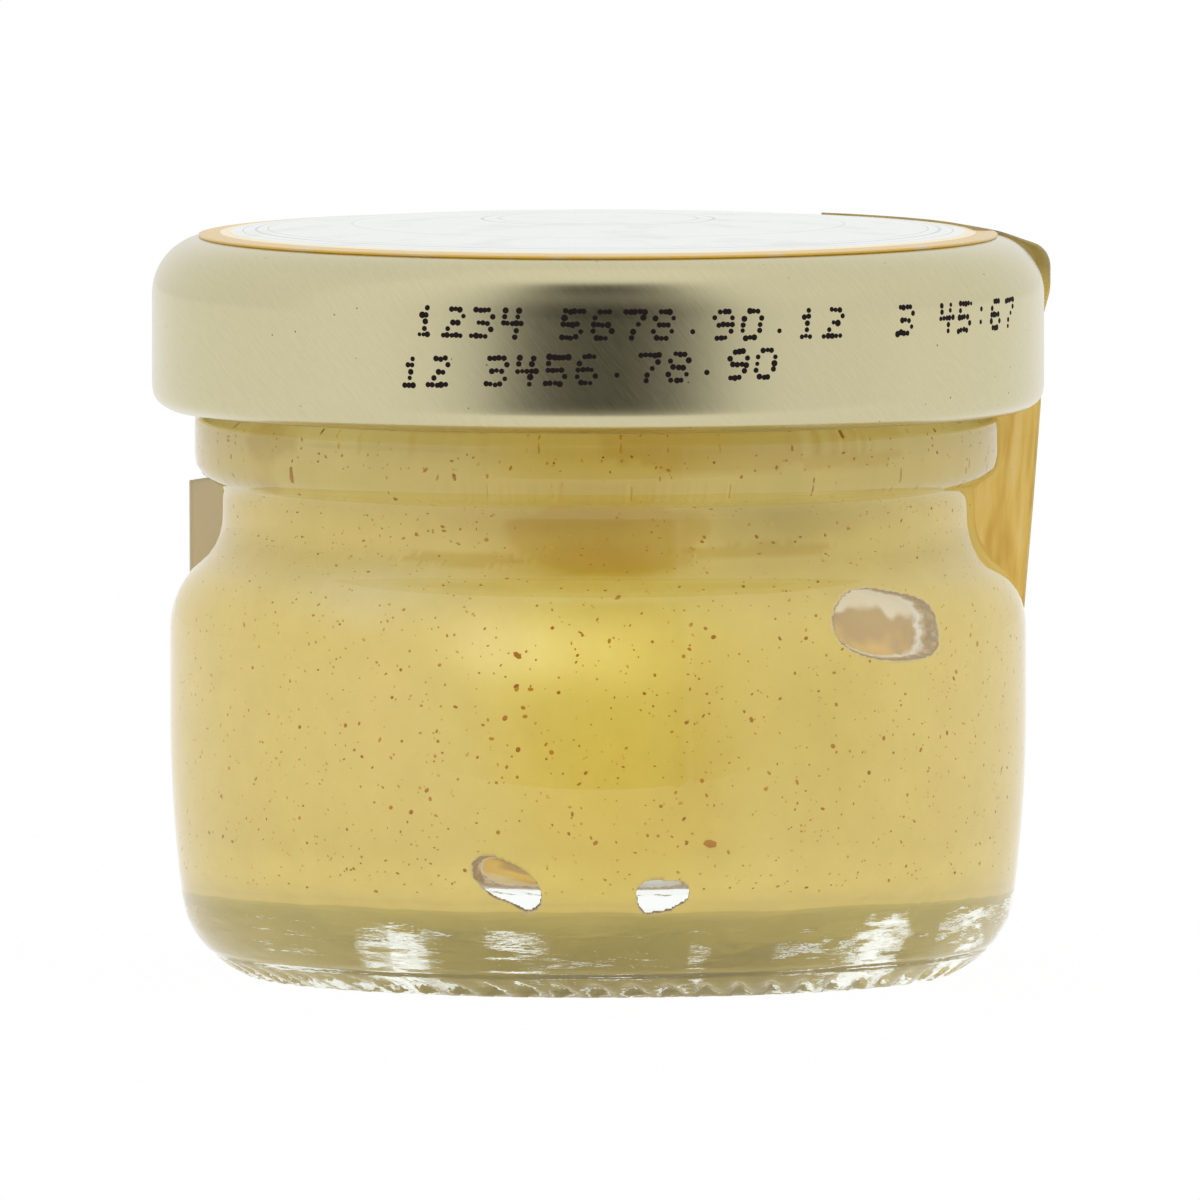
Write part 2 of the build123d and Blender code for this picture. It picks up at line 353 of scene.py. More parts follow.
# each pocket sinks into the paste by a quarter round just inside its rim
grid_angle = mustard_angles[None]
grid_height = mustard_line[:, 1:]
on_wall = (mustard_line[:, :1] > INSIDE - 5)
rims = np.full((len(mustard_line), MUSTARD_TURNS), -0.5)
sink = np.zeros_like(rims)
for values in POCKETS:
    depth = values[6]
    edge = np.where(on_wall, pocket_edge(grid_angle, grid_height, *values), -0.5)
    rims = np.maximum(rims, np.clip(edge, -0.5, 0.5))
    steep = np.clip(edge / 0.35, 0, 1)
    sink = np.maximum(sink, depth * np.sqrt(steep * (2 - steep)))
near_floor = np.clip((FLOOR + FLOOR_ROUND - grid_height) / FLOOR_ROUND, 0, 1)
relief = floor_relief(mustard_line[:, :1], grid_angle) * (near_floor > 0)

PASTE = (0.745, 0.565, 0.138)
UNDERSIDE_PAINTED_SHADE = (0.80, 0.83, 0.72)            # painted shade: how much darker the paste's underside is painted where it shows through the thick floor
# Soft and sharp-edged shifts of the paste's colour, most of them painted light and shade: painted shade round
# the neck and bead under the lid and on the far side, painted highlights on the shoulder, the front and low
# down, a deeper yellow on the front as a painted reflection of the dark room, and sharp smears of the paste
# itself. Columns: direction from the front in degrees, height, half width in degrees, half height, softness
# of the edge, natural logs of red, green and blue shift
PAINTED_LIGHT_AND_TINTS = [
    (3, 14, 30, 12, 1.0, (0.0, -0.02, -0.62)),
    (15, 12.5, 10, 7, 1.0, (-0.10, -0.13, -0.30)),
    (-10, 17.9, 21, 3.4, 1.0, (0.20, 0.21, 0.30)),
    (33, 14, 19, 8, 1.0, (-0.09, -0.11, -0.36)),
    (-34, 15, 16, 9, 1.0, (0.03, 0.01, 0.06)),
    (0, 24.4, 27, 3.6, 1.0, (-0.22, -0.34, -0.85)),
    (31, 24.2, 18, 3.6, 1.0, (-0.20, -0.20, -0.42)),
    (-1, 22.1, 24, 1.7, 0.9, (-0.10, -0.22, -0.85)),
    (1, 23.6, 17, 2.4, 0.12, (-0.07, -0.13, -0.45)),
    (-22, 22.2, 12, 0.42, 0.15, (-0.12, -0.20, -0.75)),
    (27, 22.7, 15, 0.45, 0.15, (-0.12, -0.20, -0.75)),
    (0, 28.0, 34, 2.2, 1.0, (-0.05, -0.15, -0.85)),
    (-50, 28.0, 22, 2.2, 1.0, (0.08, 0.13, 0.30)),
    (-36, 28.6, 22, 0.75, 0.12, (-0.13, -0.24, -0.80)),
    (19, 28.2, 20, 1.3, 0.10, (-0.09, -0.16, -0.50)),
    (-62, 28.2, 8, 1.4, 0.3, (-0.12, -0.20, -0.50)),
    (44, 27.4, 12, 0.5, 0.15, (-0.08, -0.15, -0.45)),
    (-2, 26.3, 40, 0.22, 0.3, (-0.10, -0.14, -0.40)),
    (0, 5.3, 400, 2.6, 1.0, (0.17, 0.20, 0.30)),
    (-5, 24.6, 75, 2.6, 1.0, (-0.12, -0.13, -0.10)),
    (40, 24.6, 34, 2.6, 1.0, (-0.19, -0.21, -0.32)),
    (-20, 24.6, 16, 2.4, 1.0, (-0.06, -0.10, -0.18)),
    (-36, 20.3, 24, 2.6, 1.0, (0.02, 0.08, 0.55)),
    (-10, 17.9, 17, 2.8, 0.9, (0.03, 0.07, 0.42)),
    (5, 17.4, 12, 2.6, 0.9, (0.10, 0.12, 0.30)),
    (3, 9.5, 26, 7.5, 1.0, (-0.02, -0.06, -0.30)),
    (150, 15, 40, 7, 1.0, (-0.05, -0.08, -0.40)),
    (-130, 19, 30, 5, 1.0, (-0.04, -0.06, -0.30)),
    (120, 24, 40, 3, 0.6, (-0.12, -0.20, -0.60)),
    (-100, 24, 30, 3, 0.8, (-0.12, -0.20, -0.60)),
]


def oval_share(across, up, half_width, half_height, ragged, soft, seed):
    """How far inside a ragged oval a point lies: 1 in the middle, 0 outside, eased between."""
    reach = np.hypot(across / half_width, up / half_height)
    edge = 1 + ragged * waves(across, up * 1.7, half_height * 1.6, seed)
    inside_share = np.clip((edge - reach) / soft, 0, 1)
    return inside_share * inside_share * (3 - 2 * inside_share)


def paste_colours_with_painted_light():
    """The colour at each point of the paste's grid, painted light and shade included: PASTE times the
    exponent of the summed shifts, with painted shade on the underside.
    """
    shift = np.zeros(rims.shape + (3,))
    turn_degrees = np.degrees(around(mustard_angles, FRONT))[None]
    up = grid_height + 0 * turn_degrees
    for n, (way, level, half_turn, half_height, soft, logs) in enumerate(PAINTED_LIGHT_AND_TINTS):
        off = (turn_degrees - way + 180) % 360 - 180
        across = off * math.radians(1) * INSIDE
        ragged = 0.10 if soft < 0.5 else 0.04
        half_width = math.radians(half_turn) * INSIDE
        share = oval_share(across, up - level, half_width, half_height, ragged, soft, 50 + n)
        shift += share[..., None] * np.array(logs)
    colour = np.array(PASTE) * np.exp(shift)
    # painted shade on the paste's underside
    colour[np.broadcast_to(near_floor > 0.99, rims.shape)] *= UNDERSIDE_PAINTED_SHADE
    return colour.clip(0.01, 0.95)


# what shows in each pocket, by colour near its top, in its middle and low down: the pale low band of the
# second and the white of the third are painted reflections of the white surround through the glass
POCKET_COLOURS_AND_REFLECTIONS = [
    ((0.88, 0.76, 0.52), (0.56, 0.36, 0.11), (0.78, 0.50, 0.13)),
    ((0.60, 0.36, 0.05), (0.95, 0.62, 0.08), (0.97, 0.80, 0.40)),
    ((0.55, 0.36, 0.08), (0.93, 0.94, 0.93), (0.93, 0.94, 0.93)),
]


def pocket_colours_and_reflections():
    """The colour at the back of the nearest pocket, painted reflections included: three bands by height,
    blended, with uneven edges.
    """
    colour = np.ones(rims.shape + (3,))
    grain = waves(mustard_angles[None] * INSIDE * 0.7, grid_height, 1.1, 71)
    for values, bands in zip(POCKETS, POCKET_COLOURS_AND_REFLECTIONS):
        centre, level, half_width, half_height, tilt = values[:5]
        across = around(grid_angle, FRONT + math.radians(centre)) * INSIDE
        rise = ((grid_height - level) * math.cos(tilt) - across * math.sin(tilt)) / half_height
        rise = rise + 0.16 * grain
        banded = np.stack([np.interp(rise, [-0.7, -0.3, 0.25, 0.45], [c[2], c[1], c[1], c[0]])
                           for c in zip(*bands)], -1)
        colour = np.where((pocket_edge(grid_angle, grid_height, *values) > -0.45)[..., None], banded, colour)
    return colour.clip(0.01, 0.97)


# The paste does not wet the floor everywhere. Where it does not, the glass's mirroring is painted: a
# near-white, glowing painted reflection torn into crinkles like foil:
# x and y of the middle, half length along x, half width, amount
FLOOR_BARE_PAINTED_REFLECTION = [
    (-11.8, -2.4, 2.6, 4.4, 0.92), (-8.8, -9.8, 2.4, 2.4, 0.90), (-4.0, -13.3, 2.0, 0.6, 0.90),
    (-0.3, -10.9, 3.9, 0.5, 0.95), (12.2, -7.8, 2.0, 2.4, 0.92), (14.8, -1.2, 1.6, 3.4, 0.92),
    (9.4, -8.4, 2.8, 0.7, 0.90), (4.3, -12.4, 0.9, 0.5, 0.90), (-4.5, 12.0, 4.0, 1.6, 0.90),
    (8.0, 10.0, 3.0, 1.6, 0.90), (-14.5, 4.0, 1.6, 3.0, 0.90), (15.4, 3.0, 1.2, 2.6, 0.90),
]


def painted_reflection_share():
    """Where the paste leaves the floor and gets the painted reflection, from 0 to 1, as soft ovals that the
    material tears into streaks.
    """
    x = mustard_line[:, :1] * np.cos(grid_angle)
    y = mustard_line[:, :1] * np.sin(grid_angle)
    total = 0 * x
    for middle_x, middle_y, half_length, half_width, amount in FLOOR_BARE_PAINTED_REFLECTION:
        reach = np.hypot((x - middle_x) / half_length, (y - middle_y) / half_width)
        total = np.maximum(total, amount * np.clip(1.6 - reach, 0, 1))
    return total * (near_floor > 0.3)


paste = piece("mustard_paste", turned(mustard_line, mustard_angles, -sink, relief), fields={
    "paste_colour_with_painted_light": paste_colours_with_painted_light(), "pocket_colour_and_reflection": pocket_colours_and_reflections(),
    "pocket_rim": rims, "bare_painted_reflection": painted_reflection_share()})


def mustard_material():
    """Pale mustard: its colour field with painted light and shade, finely clouded, with pocket colours and
    painted highlights at the pocket rims, and a glowing painted reflection of crinkled foil where it leaves
    the floor.
    """
    material = bpy.data.materials.new("mustard")
    material.use_nodes = True
    nodes, links = material.node_tree.nodes, material.node_tree.links
    shader = nodes["Principled BSDF"]
    shader.inputs["Roughness"].default_value = 0.5
    place = nodes.new("ShaderNodeTexCoord")
    field = nodes.new("ShaderNodeAttribute")
    field.attribute_name = "paste_colour_with_painted_light"
    cloud = nodes.new("ShaderNodeTexNoise")
    cloud.inputs["Scale"].default_value = 420
    cloud.inputs["Detail"].default_value = 6
    cloud.inputs["Roughness"].default_value = 0.7
    fine = nodes.new("ShaderNodeValToRGB")
    fine.color_ramp.elements[0].position = 0.3
    fine.color_ramp.elements[0].color = (0.93, 0.92, 0.86, 1)
    fine.color_ramp.elements[1].position = 0.7
    fine.color_ramp.elements[1].color = (1.0, 1.0, 1.0, 1)
    clouded = nodes.new("ShaderNodeMix")
    clouded.data_type = "RGBA"
    clouded.blend_type = "MULTIPLY"
    clouded.inputs["Factor"].default_value = 1.0
    links.new(place.outputs["Object"], cloud.inputs["Vector"])
    links.new(cloud.outputs["Fac"], fine.inputs[0])
    links.new(field.outputs["Color"], clouded.inputs["A"])
    links.new(fine.outputs[0], clouded.inputs["B"])
    rim = nodes.new("ShaderNodeAttribute")
    rim.attribute_name = "pocket_rim"
    crumb = nodes.new("ShaderNodeTexNoise")
    crumb.inputs["Scale"].default_value = 3200
    crumb.inputs["Detail"].default_value = 3
    links.new(place.outputs["Object"], crumb.inputs["Vector"])
    ragged = nodes.new("ShaderNodeMath")
    ragged.operation = "MULTIPLY_ADD"
    ragged.inputs[1].default_value = 0.16
    links.new(crumb.outputs["Fac"], ragged.inputs[0])
    links.new(rim.outputs["Fac"], ragged.inputs[2])
    # painted highlight: the pale stops of the rim are painted highlights on the pocket's wet edge; the dark
    # stops are a brown rim line
    rim_line_and_highlight = nodes.new("ShaderNodeValToRGB")
    rim_line_and_highlight.color_ramp.elements[0].position = 0.0
    rim_line_and_highlight.color_ramp.elements[0].color = (0.86, 0.74, 0.46, 1)
    rim_line_and_highlight.color_ramp.elements[1].position = 0.17
    rim_line_and_highlight.color_ramp.elements[1].color = (0.90, 0.84, 0.70, 1)
    rim_line_and_highlight.color_ramp.elements.new(0.075).color = (0.36, 0.22, 0.05, 1)
    rim_line_and_highlight.color_ramp.elements.new(0.12).color = (0.55, 0.36, 0.12, 1)
    on_rim = nodes.new("ShaderNodeMapRange")
    on_rim.inputs["From Min"].default_value = 0.005
    on_rim.inputs["From Max"].default_value = 0.035
    in_pocket = nodes.new("ShaderNodeMapRange")
    in_pocket.inputs["From Min"].default_value = 0.17
    in_pocket.inputs["From Max"].default_value = 0.23
    for node in (rim_line_and_highlight.inputs[0], on_rim.inputs["Value"], in_pocket.inputs["Value"]):
        links.new(ragged.outputs[0], node)
    rimmed = nodes.new("ShaderNodeMix")
    rimmed.data_type = "RGBA"
    links.new(on_rim.outputs[0], rimmed.inputs["Factor"])
    links.new(clouded.outputs["Result"], rimmed.inputs["A"])
    links.new(rim_line_and_highlight.outputs[0], rimmed.inputs["B"])
    pocket_field = nodes.new("ShaderNodeAttribute")
    pocket_field.attribute_name = "pocket_colour_and_reflection"
    filled = nodes.new("ShaderNodeMix")
    filled.data_type = "RGBA"
    links.new(in_pocket.outputs[0], filled.inputs["Factor"])
    links.new(rimmed.outputs["Result"], filled.inputs["A"])
    links.new(pocket_field.outputs["Color"], filled.inputs["B"])
    bare_painted_reflection = nodes.new("ShaderNodeAttribute")
    bare_painted_reflection.attribute_name = "bare_painted_reflection"
    long = nodes.new("ShaderNodeMapping")
    long.inputs["Scale"].default_value = (520, 2300, 100)
    long.inputs["Rotation"].default_value = (0, 0, math.radians(14))
    streaks = nodes.new("ShaderNodeTexNoise")
    streaks.inputs["Scale"].default_value = 1.0
    streaks.inputs["Detail"].default_value = 7
    streaks.inputs["Roughness"].default_value = 0.72
    streaks.inputs["Distortion"].default_value = 0.5
    links.new(place.outputs["Object"], long.inputs["Vector"])
    links.new(long.outputs[0], streaks.inputs["Vector"])
    torn = nodes.new("ShaderNodeMath")
    torn.operation = "MULTIPLY_ADD"
    torn.inputs[1].default_value = 0.55
    links.new(bare_painted_reflection.outputs["Fac"], torn.inputs[0])
    links.new(streaks.outputs["Fac"], torn.inputs[2])
    painted_foil_reflection = nodes.new("ShaderNodeMapRange")
    painted_foil_reflection.interpolation_type = "SMOOTHSTEP"
    painted_foil_reflection.inputs["From Min"].default_value = 0.88
    painted_foil_reflection.inputs["From Max"].default_value = 1.03
    links.new(torn.outputs[0], painted_foil_reflection.inputs["Value"])
    under = nodes.new("ShaderNodeMath")
    under.operation = "MULTIPLY"
    has = nodes.new("ShaderNodeMath")
    has.operation = "GREATER_THAN"
    has.inputs[1].default_value = 0.001
    links.new(bare_painted_reflection.outputs["Fac"], has.inputs[0])
    links.new(has.outputs[0], under.inputs[0])
    links.new(painted_foil_reflection.outputs[0], under.inputs[1])
    # painted reflection: near-white colour where the paste leaves the floor
    shown = nodes.new("ShaderNodeMix")
    shown.data_type = "RGBA"
    shown.inputs["B"].default_value = (0.86, 0.92, 0.93, 1)
    links.new(under.outputs[0], shown.inputs["Factor"])
    links.new(filled.outputs["Result"], shown.inputs["A"])
    links.new(shown.outputs["Result"], shader.inputs["Base Color"])
    # painted reflection: the same places glow through the emission, though nothing there is a lamp
    painted_glint_glow = nodes.new("ShaderNodeMix")
    painted_glint_glow.data_type = "RGBA"
    painted_glint_glow.inputs["A"].default_value = (0, 0, 0, 1)
    painted_glint_glow.inputs["B"].default_value = (0.60, 0.62, 0.62, 1)
    links.new(under.outputs[0], painted_glint_glow.inputs["Factor"])
    links.new(painted_glint_glow.outputs["Result"], shader.inputs["Emission Color"])
    shader.inputs["Emission Strength"].default_value = 1.0
    return material


paste.data.materials.append(mustard_material())
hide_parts("mustard")
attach(paste, "root")

# ---------------------------------------------------------------------------
# Ground mustard husk: the rust and ochre specks that lie against the glass. They are
# flat flakes of many sizes pressed into the paste, made as one joined piece.

HUSKS = 6000
# the largest flakes at the front: direction in degrees, height, size
LARGE_HUSKS = [
    (-11.5, 17.7, 0.19), (16.2, 8.1, 0.30), (-11.6, 16.0, 0.13), (-9.6, 16.0, 0.13), (-13.3, 14.5, 0.15),
    (-10.4, 14.6, 0.12), (-11.4, 12.9, 0.14), (2.9, 20.2, 0.15), (-27.5, 9.6, 0.12), (-24.5, 10.3, 0.11),
    (29.4, 11.1, 0.12), (-30.8, 23.6, 0.12), (-18.4, 23.4, 0.13), (17.1, 23.3, 0.10), (14.9, 11.3, 0.12),
    (52.0, 12.4, 0.12), (-14.0, 27.2, 0.10), (-36.0, 14.0, 0.09), (4.0, 13.0, 0.08), (-4.0, 10.0, 0.09),
]


def husks():
    """Flat six-sided flakes: a waist of six points and two low tips, scaled, turned and set on the wall.

    Beyond LARGE_HUSKS, places are drawn evenly round and up, and sizes from a log-normal spread."""
    draw = np.random.default_rng(21)
    up = draw.uniform(FLOOR + 0.8, MUSTARD_TOP - 1.5, HUSKS)
    angle = draw.uniform(-math.pi, math.pi, HUSKS)
    size = np.exp(draw.normal(-2.95, 0.33, HUSKS)).clip(0.03, 0.12)
    size[:70] = draw.uniform(0.08, 0.15, 70)
    for n, (way, level, big) in enumerate(LARGE_HUSKS):
        angle[n], up[n], size[n] = FRONT + math.radians(way), level, big
    clear = np.ones(HUSKS, bool)
    for values in POCKETS:
        clear &= pocket_edge(angle, up, *values) < -0.1
    up, angle, size = up[clear], angle[clear], size[clear]
    wall = mustard_line[(mustard_line[:, 0] > BORE - 1) & (mustard_line[:, 1] > FLOOR + 0.3)]
    r = np.interp(up, wall[:, 1], wall[:, 0])
    spin = draw.uniform(0, math.pi, len(size))[:, None]
    long = draw.uniform(0.7, 1.5, len(size))[:, None]
    waist = np.linspace(0, 2 * math.pi, 6, endpoint=False)[None]
    x = size[:, None] * long * np.cos(waist)
    y = size[:, None] / long * np.sin(waist)
    side, rise = x * np.cos(spin) - y * np.sin(spin), x * np.sin(spin) + y * np.cos(spin)
    side = np.concatenate([side, side[:, :1] * 0, side[:, :1] * 0], 1)
    rise = np.concatenate([rise, rise[:, :1] * 0, rise[:, :1] * 0], 1)
    out = np.zeros_like(side)
    out[:, 6] = size * 0.35
    out[:, 7] = -size * 0.35
    r = r[:, None] + out + 0.004
    a = angle[:, None] + side / r
    points = np.stack([r * np.cos(a), r * np.sin(a), up[:, None] + rise], -1)
    n = np.arange(6)
    m = (n + 1) % 6
    faces = np.concatenate([np.stack([n, m, np.full(6, 6)], 1), np.stack([m, n, np.full(6, 7)], 1)])
    faces = (faces[None] + np.arange(len(size))[:, None, None] * 8).reshape(-1, 3)
    mesh = bpy.data.meshes.new("mustard_husk")
    mesh.from_pydata((points.reshape(-1, 3) * MM).tolist(), [], faces.tolist())
    tone = np.where(size > 0.09, draw.uniform(0.0, 0.45, len(size)), draw.uniform(0.1, 1, len(size)))
    layer = mesh.attributes.new("tone", "FLOAT", "POINT")
    layer.data.foreach_set("value", np.repeat(tone, 8).astype(np.float32))
    made = bpy.data.objects.new("mustard_husk", mesh)
    bpy.context.scene.collection.objects.link(made)
    return made


def husk_material():
    """Husk is rust brown to ochre, from flake to flake."""
    material = bpy.data.materials.new("mustard_husk")
    material.use_nodes = True
    nodes, links = material.node_tree.nodes, material.node_tree.links
    shader = nodes["Principled BSDF"]
    shader.inputs["Roughness"].default_value = 0.6
    shader.inputs["Specular IOR Level"].default_value = 0.1
    vary = nodes.new("ShaderNodeAttribute")
    vary.attribute_name = "tone"
    tone = nodes.new("ShaderNodeValToRGB")
    tone.color_ramp.elements[0].position = 0.0
    tone.color_ramp.elements[0].color = (0.36, 0.12, 0.008, 1)
    tone.color_ramp.elements[1].position = 1.0
    tone.color_ramp.elements[1].color = (0.70, 0.46, 0.05, 1)
    tone.color_ramp.elements.new(0.5).color = (0.56, 0.27, 0.02, 1)
    links.new(vary.outputs["Fac"], tone.inputs[0])
    links.new(tone.outputs[0], shader.inputs["Base Color"])
    return material


husk = husks()
husk.data.materials.append(husk_material())
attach(husk, "root")

# ---------------------------------------------------------------------------
# The lid: a twist-off cap pressed from tinplate, lacquered pale gold over a fine
# brushed grain, with a low domed panel, a round shoulder and a rolled lower edge.

lid_low, lid_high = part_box("lid")
LID = lid_high.x / MM
LID_BOTTOM = lid_low.z / MM
LID_TURNS = 360
SHOULDER_ROUND = 3.0
DOME = 0.8
TINPLATE = 0.25
HEM = 1.95                                # height over which the skirt's foot turns in to the rolled edge
HEM_IN = 0.9
PANEL = lid_high.z / MM - DOME
PANEL_EDGE = LID - SHOULDER_ROUND


def lid_outline():
    """The lid's section: down the outside from the middle, round the rolled edge and up the inside."""
    def top(out):
        across = np.linspace(0, PANEL_EDGE, 40)
        dome = np.stack([across, PANEL + out + DOME * (1 - (across / PANEL_EDGE) ** 2)], 1)
        turn = np.linspace(0, math.pi / 2, 28)[:, None]
        reach = SHOULDER_ROUND + out
        bend = np.array([PANEL_EDGE, PANEL - SHOULDER_ROUND]) + reach * np.concatenate(
            [np.sin(turn), np.cos(turn)], 1)
        return np.concatenate([dome, bend])
    skirt = np.linspace(PANEL - SHOULDER_ROUND, LID_BOTTOM + HEM, 10)[1:-1]
    straight = np.stack([np.full(len(skirt), LID), skirt], 1)
    share = np.linspace(0, 1, 26)
    hem = np.stack([LID - HEM_IN * share**5, LID_BOTTOM + HEM * (1 - share)], 1)
    edge = LID - HEM_IN
    under = np.array([
        [edge - 0.15, LID_BOTTOM], [edge - 0.35, LID_BOTTOM + 0.06], [edge - 0.5, LID_BOTTOM + 0.3],
        [edge - 0.35, LID_BOTTOM + 0.65], [edge + 0.1, LID_BOTTOM + 1.1], [LID - TINPLATE, LID_BOTTOM + HEM]])
    inner = top(-TINPLATE)[::-1]
    return np.concatenate([top(0), straight, hem, under, inner])


lid_line = lid_outline()
lid_angles = np.linspace(0, 2 * math.pi, LID_TURNS, endpoint=False)
lid = piece("lid_gold", turned(lid_line, lid_angles))


def brushed_grain():
    """A node group: fine straight scratches, as a mask from 0 to 1.

    The scratches run along Y of the vector that it is given, because X is stretched far more."""
    group = bpy.data.node_groups.new("brushed_grain", "ShaderNodeTree")
    group.interface.new_socket("Vector", in_out="INPUT", socket_type="NodeSocketVector")
    group.interface.new_socket("Mask", in_out="OUTPUT", socket_type="NodeSocketFloat")
    nodes, links = group.nodes, group.links
    entry, result = nodes.new("NodeGroupInput"), nodes.new("NodeGroupOutput")
    stretch = nodes.new("ShaderNodeMapping")
    stretch.inputs["Scale"].default_value = (15000, 900, 900)
    scratches = nodes.new("ShaderNodeTexNoise")
    scratches.inputs["Scale"].default_value = 1.0
    scratches.inputs["Detail"].default_value = 4
    scratches.inputs["Roughness"].default_value = 0.65
    links.new(entry.outputs[0], stretch.inputs["Vector"])
    links.new(stretch.outputs[0], scratches.inputs["Vector"])
    links.new(scratches.outputs["Fac"], result.inputs[0])
    return group


GRAIN = brushed_grain()


def gold_lacquer():
    """Pale gold lacquered tinplate: satin metal, scratched by a slanting brushed grain, with dark pits."""
    material = bpy.data.materials.new("gold_tinplate")
    material.use_nodes = True
    nodes, links = material.node_tree.nodes, material.node_tree.links
    shader = nodes["Principled BSDF"]
    shader.inputs["Metallic"].default_value = 1.0
    place = nodes.new("ShaderNodeTexCoord")
    slant = nodes.new("ShaderNodeMapping")
    slant.inputs["Rotation"].default_value = (math.radians(90), 0, math.radians(38))
    grain = nodes.new("ShaderNodeGroup")
    grain.node_tree = GRAIN
    links.new(place.outputs["Object"], slant.inputs["Vector"])
    links.new(slant.outputs[0], grain.inputs[0])
    tint = nodes.new("ShaderNodeValToRGB")
    tint.color_ramp.elements[0].position = 0.2
    tint.color_ramp.elements[0].color = (0.57, 0.525, 0.325, 1)
    tint.color_ramp.elements[1].position = 0.8
    tint.color_ramp.elements[1].color = (0.645, 0.588, 0.368, 1)
    links.new(grain.outputs[0], tint.inputs[0])
    pits = nodes.new("ShaderNodeTexVoronoi")
    pits.inputs["Scale"].default_value = 900
    pit = nodes.new("ShaderNodeMath")
    pit.operation = "LESS_THAN"
    pit.inputs[1].default_value = 0.045
    links.new(place.outputs["Object"], pits.inputs["Vector"])
    links.new(pits.outputs["Distance"], pit.inputs[0])
    stain = nodes.new("ShaderNodeMix")
    stain.data_type = "RGBA"
    stain.inputs["B"].default_value = (0.2, 0.16, 0.07, 1)
    links.new(pit.outputs[0], stain.inputs["Factor"])
    links.new(tint.outputs[0], stain.inputs["A"])
    links.new(stain.outputs["Result"], shader.inputs["Base Color"])
    gloss = nodes.new("ShaderNodeMapRange")
    gloss.inputs["To Min"].default_value = 0.13
    gloss.inputs["To Max"].default_value = 0.27
    links.new(grain.outputs[0], gloss.inputs["Value"])
    links.new(gloss.outputs[0], shader.inputs["Roughness"])
    bump = nodes.new("ShaderNodeBump")
    bump.inputs["Strength"].default_value = 0.14
    bump.inputs["Distance"].default_value = 0.00002
    links.new(grain.outputs[0], bump.inputs["Height"])
    links.new(bump.outputs[0], shader.inputs["Normal"])
    return material


lid.data.materials.append(gold_lacquer())
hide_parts("lid")
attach(lid, "root")

# ---------------------------------------------------------------------------
# The packer's code: two lines of figures jetted on the lid's skirt in dark ink, each
# stroke a row of round drops that stand a little proud of the lacquer.

DOT = 0.165                               # radius of a drop
DOT_HIGH = 0.015
DOT_SIDES = 10
CELL = 1.555                              # from one figure to the next
COLUMN = 0.235
ROW = 0.335
LEAN = 0.16                               # how far a figure leans to the right, per unit of height
FIGURES = {
    "0": " ### |#   #|#   #|#   #| ### ",
    "1": "  #  | ##  |  #  |  #  | ### ",
    "2": " ### |    #|  ## | #   |#####",
    "3": "#### |    #| ### |    #|#### ",
    "4": "#  # |#  # |#####|   # |   # ",
    "5": "#####|#    |#### |    #|#### ",
    "6": " ### |#    |#### |#   #| ### ",
    "7": "#####|    #|   # |  #  |  #  ",
    "8": " ### |#   #| ### |#   #| ### ",
    "9": " ### |#   #| ####|    #| ### ",
    ".": "     |     |     |  #  |     ",
    ":": "     |  #  |     |  #  |     ",
    " ": "     |     |     |     |     ",
}
# text, direction of its first figure from the front, height there, rise per millimetre along
CODE_LINES = [
    ("1234 5678.90.12  3 45:67", -22.6, 34.9, -0.008),
    ("12 3456.78.90", -24.6, 32.3, 0.024),
]


def ink_dots():
    """Every drop of the code: discs of a few sides and a middle, laid on the skirt's cylinder."""
    draw = np.random.default_rng(11)
    spots = np.array([
        (math.radians(start) * LID + CELL * n + COLUMN * (x - 2) + LEAN * ROW * (2 - y),
         level + rise * CELL * n + ROW * (2 - y))
        for text, start, level, rise in CODE_LINES
        for n, sign in enumerate(text)
        for y, row in enumerate(FIGURES[sign].split("|"))
        for x, mark in enumerate(row) if mark == "#"])
    spots = spots + draw.normal(0, 0.018, spots.shape)
    size = DOT * draw.normal(1, 0.1, len(spots)).clip(0.6, 1.25)
    turn = np.linspace(0, 2 * math.pi, DOT_SIDES, endpoint=False)
    ring = np.stack([np.cos(turn), np.sin(turn)], -1)
    flat = spots[:, None] + size[:, None, None] * np.concatenate([ring, ring * 0.7, np.zeros((1, 2))])[None]
    rise = np.concatenate([np.zeros(DOT_SIDES) - 0.01, np.full(DOT_SIDES + 1, DOT_HIGH)])
    along, up = flat[..., 0] / LID + FRONT, flat[..., 1]
    over = np.clip((up - (PANEL - SHOULDER_ROUND)) / SHOULDER_ROUND, 0, 1)
    out = PANEL_EDGE + SHOULDER_ROUND * np.sqrt(1 - over**2) + rise[None]
    points = np.stack([out * np.cos(along), out * np.sin(along), up], -1)
    n = np.arange(DOT_SIDES)
    m = (n + 1) % DOT_SIDES
    faces = [[a, b, b + DOT_SIDES, a + DOT_SIDES] for a, b in zip(n, m)]
    tips = [[a + DOT_SIDES, b + DOT_SIDES, 2 * DOT_SIDES] for a, b in zip(n, m)]
    shift = np.arange(len(spots))[:, None, None] * (2 * DOT_SIDES + 1)
    all_faces = (np.array(faces)[None] + shift).reshape(-1, 4).tolist()
    all_faces += (np.array(tips)[None] + shift).reshape(-1, 3).tolist()
    mesh = bpy.data.meshes.new("packing_code")
    mesh.from_pydata((points.reshape(-1, 3) * MM).tolist(), [], all_faces)
    made = bpy.data.objects.new("packing_code", mesh)
    bpy.context.scene.collection.objects.link(made)
    return made


